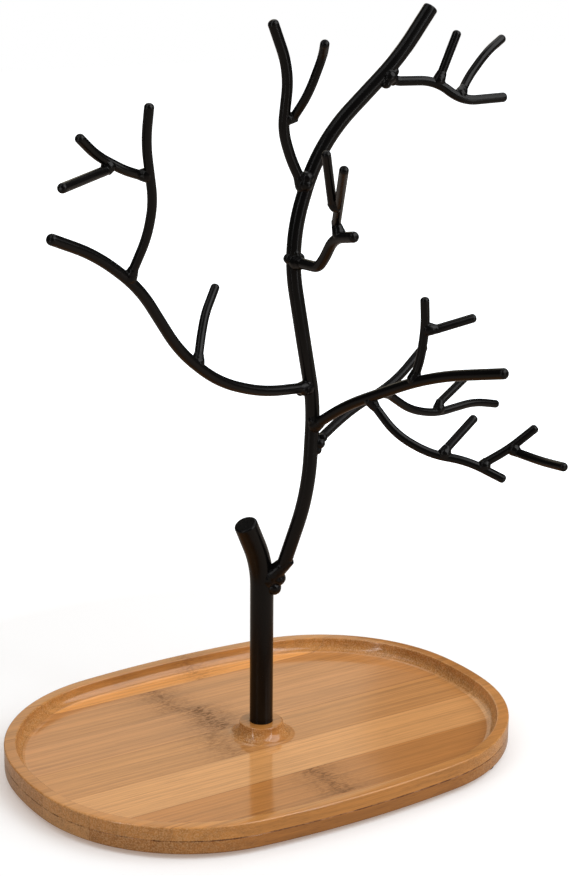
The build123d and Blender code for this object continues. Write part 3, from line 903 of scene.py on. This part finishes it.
# %% Sections of the three parts
UNDER, SEAM, TOP, FLOOR, SOCKET = 2.0, 8.0, 14.0, 7.5, 10.0
RIM_WIDTH, COVE, RIM_ROUND, UNDER_ROUND = 5.4, 4.8, 0.7, 1.2
BOSS_RADIUS, BOSS_COVE, BOSS_ROUND, SCREW_HOLE, COUNTERBORE = 9.7, 5.8, 0.5, 2.8, 7.0
COUNTERBORE_TOP, SOCKET_RADIUS, SEAM_ROUND = 6.0, 5.25, 0.12


def arc(centre, radius, start, stop, steps):
    """(inset, height) pairs on an arc, angles in degrees, 0 towards larger inset."""
    angles = [math.radians(start + (stop - start) * step / steps) for step in range(steps + 1)]
    return [(centre[0] + radius * math.cos(a), centre[1] + radius * math.sin(a))
            for a in angles]


def cove(edge, radius):
    """A quarter round from a wall down to the floor, parted at the plies' seam."""
    seam_angle = math.degrees(math.asin((FLOOR + radius - SEAM) / radius))
    centre = (edge + radius, FLOOR + radius)
    return (arc(centre, radius, 180, 180 + seam_angle, 12),
            arc(centre, radius, 180 + seam_angle, 270, 6))


high_cove, low_cove = cove(RIM_WIDTH, COVE)
high_boss_cove, low_boss_cove = cove(BOSS_RADIUS, BOSS_COVE)
seam_inset = high_cove[-1][0]

base_outside = ([(1.2 * UNDER_ROUND, UNDER)]
                + arc((UNDER_ROUND, UNDER + UNDER_ROUND), UNDER_ROUND, 270, 180, 6)
                + [(0, SEAM - SEAM_ROUND), (SEAM_ROUND, SEAM)] + [(seam_inset, SEAM)]
                + low_cove[1:])
base_inside = (low_boss_cove[::-1]
               + [(SCREW_HOLE, SEAM), (SCREW_HOLE, COUNTERBORE_TOP),
                  (COUNTERBORE, COUNTERBORE_TOP), (COUNTERBORE, UNDER)])
rim_section = ([(seam_inset, SEAM), (SEAM_ROUND, SEAM), (0, SEAM + SEAM_ROUND)]
               + arc((RIM_ROUND, TOP - RIM_ROUND), RIM_ROUND, 180, 90, 6)
               + arc((RIM_WIDTH - RIM_ROUND, TOP - RIM_ROUND), RIM_ROUND, 90, 0, 6)
               + high_cove[:-1])
boss_section = ([(SCREW_HOLE, SEAM), (SCREW_HOLE, SOCKET), (SOCKET_RADIUS, SOCKET),
                 (SOCKET_RADIUS, TOP)]
                + [(BOSS_RADIUS - BOSS_ROUND * (1 - math.sin(math.radians(angle))),
                    TOP - BOSS_ROUND * (1 - math.cos(math.radians(angle))))
                   for angle in range(0, 91, 15)]
                + high_boss_cove)


# %% Carry a section round, and close it
def lofted(name, rings):
    count = len(rings[0])
    vertices = [point for ring in rings for point in ring]
    faces = []
    for row in range(len(rings)):
        below, above = row * count, (row + 1) % len(rings) * count
        for step in range(count):
            after = (step + 1) % count
            faces.append((below + step, below + after, above + after, above + step))
    piece = new_piece(name, vertices, faces=faces)
    bm = bmesh.new()
    bm.from_mesh(piece.data)
    bmesh.ops.remove_doubles(bm, verts=bm.verts, dist=1e-7)
    bmesh.ops.recalc_face_normals(bm, faces=bm.faces)
    bm.to_mesh(piece.data)
    bm.free()
    piece.data.shade_smooth()
    piece.data.set_sharp_from_angle(angle=math.radians(35))
    piece.data.materials.append(bamboo)
    return piece


tray_pieces = {
    "tray_base_ply": lofted("tray_base_board", [oval_ring(*pair) for pair in base_outside]
                            + [round_ring(*pair) for pair in base_inside]),
    "tray_rim": lofted("tray_rim_board", [oval_ring(*pair) for pair in rim_section]),
    "tray_boss": lofted("tray_boss_board", [round_ring(*pair) for pair in boss_section]),
}
for node_name, piece in tray_pieces.items():
    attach(piece, "root")
    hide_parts(node_name)
    print(piece.name, "faces:", len(piece.data.polygons))

# %% [markdown]
# ## Studio
#
# The photograph has a pure white ground, and a thin warm shadow at the tray's edge.
# More light would bleach the bamboo, so ground and world are white towards the camera
# only. Near the tray the paper gives off about a quarter of its white by itself, in a
# warm tone, and the lamps add the rest. Where the tray keeps the lamps away, the warm
# part is left, and that is the shadow. Other surfaces are lit by a darker paper, as
# they would be in a room, and polished ones see a dim glow of it.

# %% Floor
FLOOR_HALF = 3.0  # m
OWN_LIGHT, PAPER, PAPER_FOR_OTHERS = "#988476", "#d5dfe5", "#9d9186"
GLOW_NEAR, GLOW_FAR = 0.4, 0.05  # what polished surfaces see
FADE_START, FADE_END = 0.2, 0.45  # m from the trunk

floor = new_piece("studio_floor", [(x * FLOOR_HALF / MM, y * FLOOR_HALF / MM, 0)
                                   for x, y in ((-1, -1), (1, -1), (1, 1), (-1, 1))],
                  faces=[(0, 1, 2, 3)])
ground, tree, shader = new_material("White paper sweep")
tree.nodes.remove(shader)
seen = add(tree, "ShaderNodeLightPath")
paper_tone = add(tree, "ShaderNodeMix", {"Factor": seen.outputs["Is Camera Ray"],
                                         "A": linear(PAPER_FOR_OTHERS),
                                         "B": linear(PAPER)}, data_type="RGBA")
paper = add(tree, "ShaderNodeBsdfDiffuse", {"Color": paper_tone.outputs["Result"]})
mirrored = add(tree, "ShaderNodeMath", {0: seen.outputs["Is Glossy Ray"],
                                        1: seen.outputs["Is Transmission Ray"]},
               operation="MAXIMUM")
# beyond the tray's shadow the ground goes over to white, so that no horizon shows
here = add(tree, "ShaderNodeTexCoord")
from_trunk = add(tree, "ShaderNodeVectorMath", {0: here.outputs["Object"], 1: AXIS * MM},
                 operation="DISTANCE")
fade = add(tree, "ShaderNodeMapRange", {
    "Value": from_trunk.outputs["Value"], "From Min": FADE_START, "From Max": FADE_END})
own_tone = add(tree, "ShaderNodeMix", {"Factor": fade.outputs["Result"],
                                       "A": linear(OWN_LIGHT), "B": (1, 1, 1, 1)},
               data_type="RGBA")
glow_level = add(tree, "ShaderNodeMapRange", {
    "Value": fade.outputs["Result"], "To Min": GLOW_NEAR, "To Max": GLOW_FAR})
own_light = add(tree, "ShaderNodeMath", {0: mirrored.outputs[0],
                                         1: glow_level.outputs["Result"],
                                         2: seen.outputs["Is Camera Ray"]},
                operation="MULTIPLY_ADD")
glow = add(tree, "ShaderNodeEmission", {"Color": own_tone.outputs["Result"],
                                        "Strength": own_light.outputs[0]})
both = add(tree, "ShaderNodeAddShader", {0: paper.outputs[0], 1: glow.outputs[0]})
tree.links.new(both.outputs[0], tree.nodes["Material Output"].inputs["Surface"])
floor.data.materials.append(ground)

# %% World
AROUND, SEEN_IN_GLOSS = 0.36, 0.05
world = bpy.data.worlds.new("studio_world")
bpy.context.scene.world = world
world.use_nodes = True
tree = world.node_tree
sky = tree.nodes["Background"]
seen = add(tree, "ShaderNodeLightPath")
mirror_part = add(tree, "ShaderNodeMath", {0: seen.outputs["Is Glossy Ray"],
                                           1: SEEN_IN_GLOSS - AROUND, 2: AROUND},
                  operation="MULTIPLY_ADD")
level = add(tree, "ShaderNodeMath", {0: seen.outputs["Is Camera Ray"], 1: 1.0,
                                     2: mirror_part.outputs[0]}, operation="MULTIPLY_ADD",
            use_clamp=True)
sky.inputs["Color"].default_value = (1, 1, 1, 1)
tree.links.new(level.outputs[0], sky.inputs["Strength"])


# %% [markdown]
# ## Lamps
#
# Black satin rods are seen only by what they mirror. Two tall narrow lamps, standing
# on the floor at the left and the right, draw a thin line along each of them. A large
# window at the right is the main light and throws the shadow to the left. A second
# window behind brings the shadow to the front too. The low warm panel behind the tree
# is there for the lacquer, which mirrors it all over except where the trunk stands in
# the way. Lamps give light as in a room, and no camera sees them.

# %% Lamps
WHITE, WARM = (1, 1, 1), (1.0, 0.88, 0.66)
# name: (bearing from the camera to its right, elevation, distance in m, size in m,
#        watts, height of the point it faces in mm, colour)
LAMPS = {
    "strip_left": (-42, 0, 0.62, (0.05, 1.1), 0.9, 570, WHITE),
    "strip_right": (52, 0, 0.62, (0.06, 1.1), 0.9, 570, WHITE),
    "window_right": (70, 44, 1.6, (1.7, 1.5), 21, 150, WHITE),
    "window_behind": (170, 62, 1.6, (1.2, 1.0), 5, 150, WHITE),
    "fill_left": (-70, 60, 1.8, (1.2, 1.2), 4, 150, WHITE),
    "panel_behind": (-166, 25, 2.2, (1.3, 0.9), 3.0, 0, WARM),
}

for name, (bearing, elevation, distance, size, watts, aim, colour) in LAMPS.items():
    turn, rise = AZIMUTH + math.radians(bearing), math.radians(elevation)
    towards = Vector((math.sin(turn) * math.cos(rise), -math.cos(turn) * math.cos(rise),
                      math.sin(rise)))
    data = bpy.data.lights.new(name, "AREA")
    data.shape, data.size, data.size_y = "RECTANGLE", *size
    data.energy, data.color = watts, colour
    lamp = bpy.data.objects.new(name, data)
    lamp.matrix_world = (
        Matrix.Translation((AXIS + Vector((0, 0, aim))) * MM + towards * distance)
        @ towards.to_track_quat("Z", "Y").to_matrix().to_4x4())
    lamp.visible_camera = False
    bpy.context.scene.collection.objects.link(lamp)
print("lamps:", len(LAMPS))

bpy.context.scene.view_settings.view_transform = "Standard"
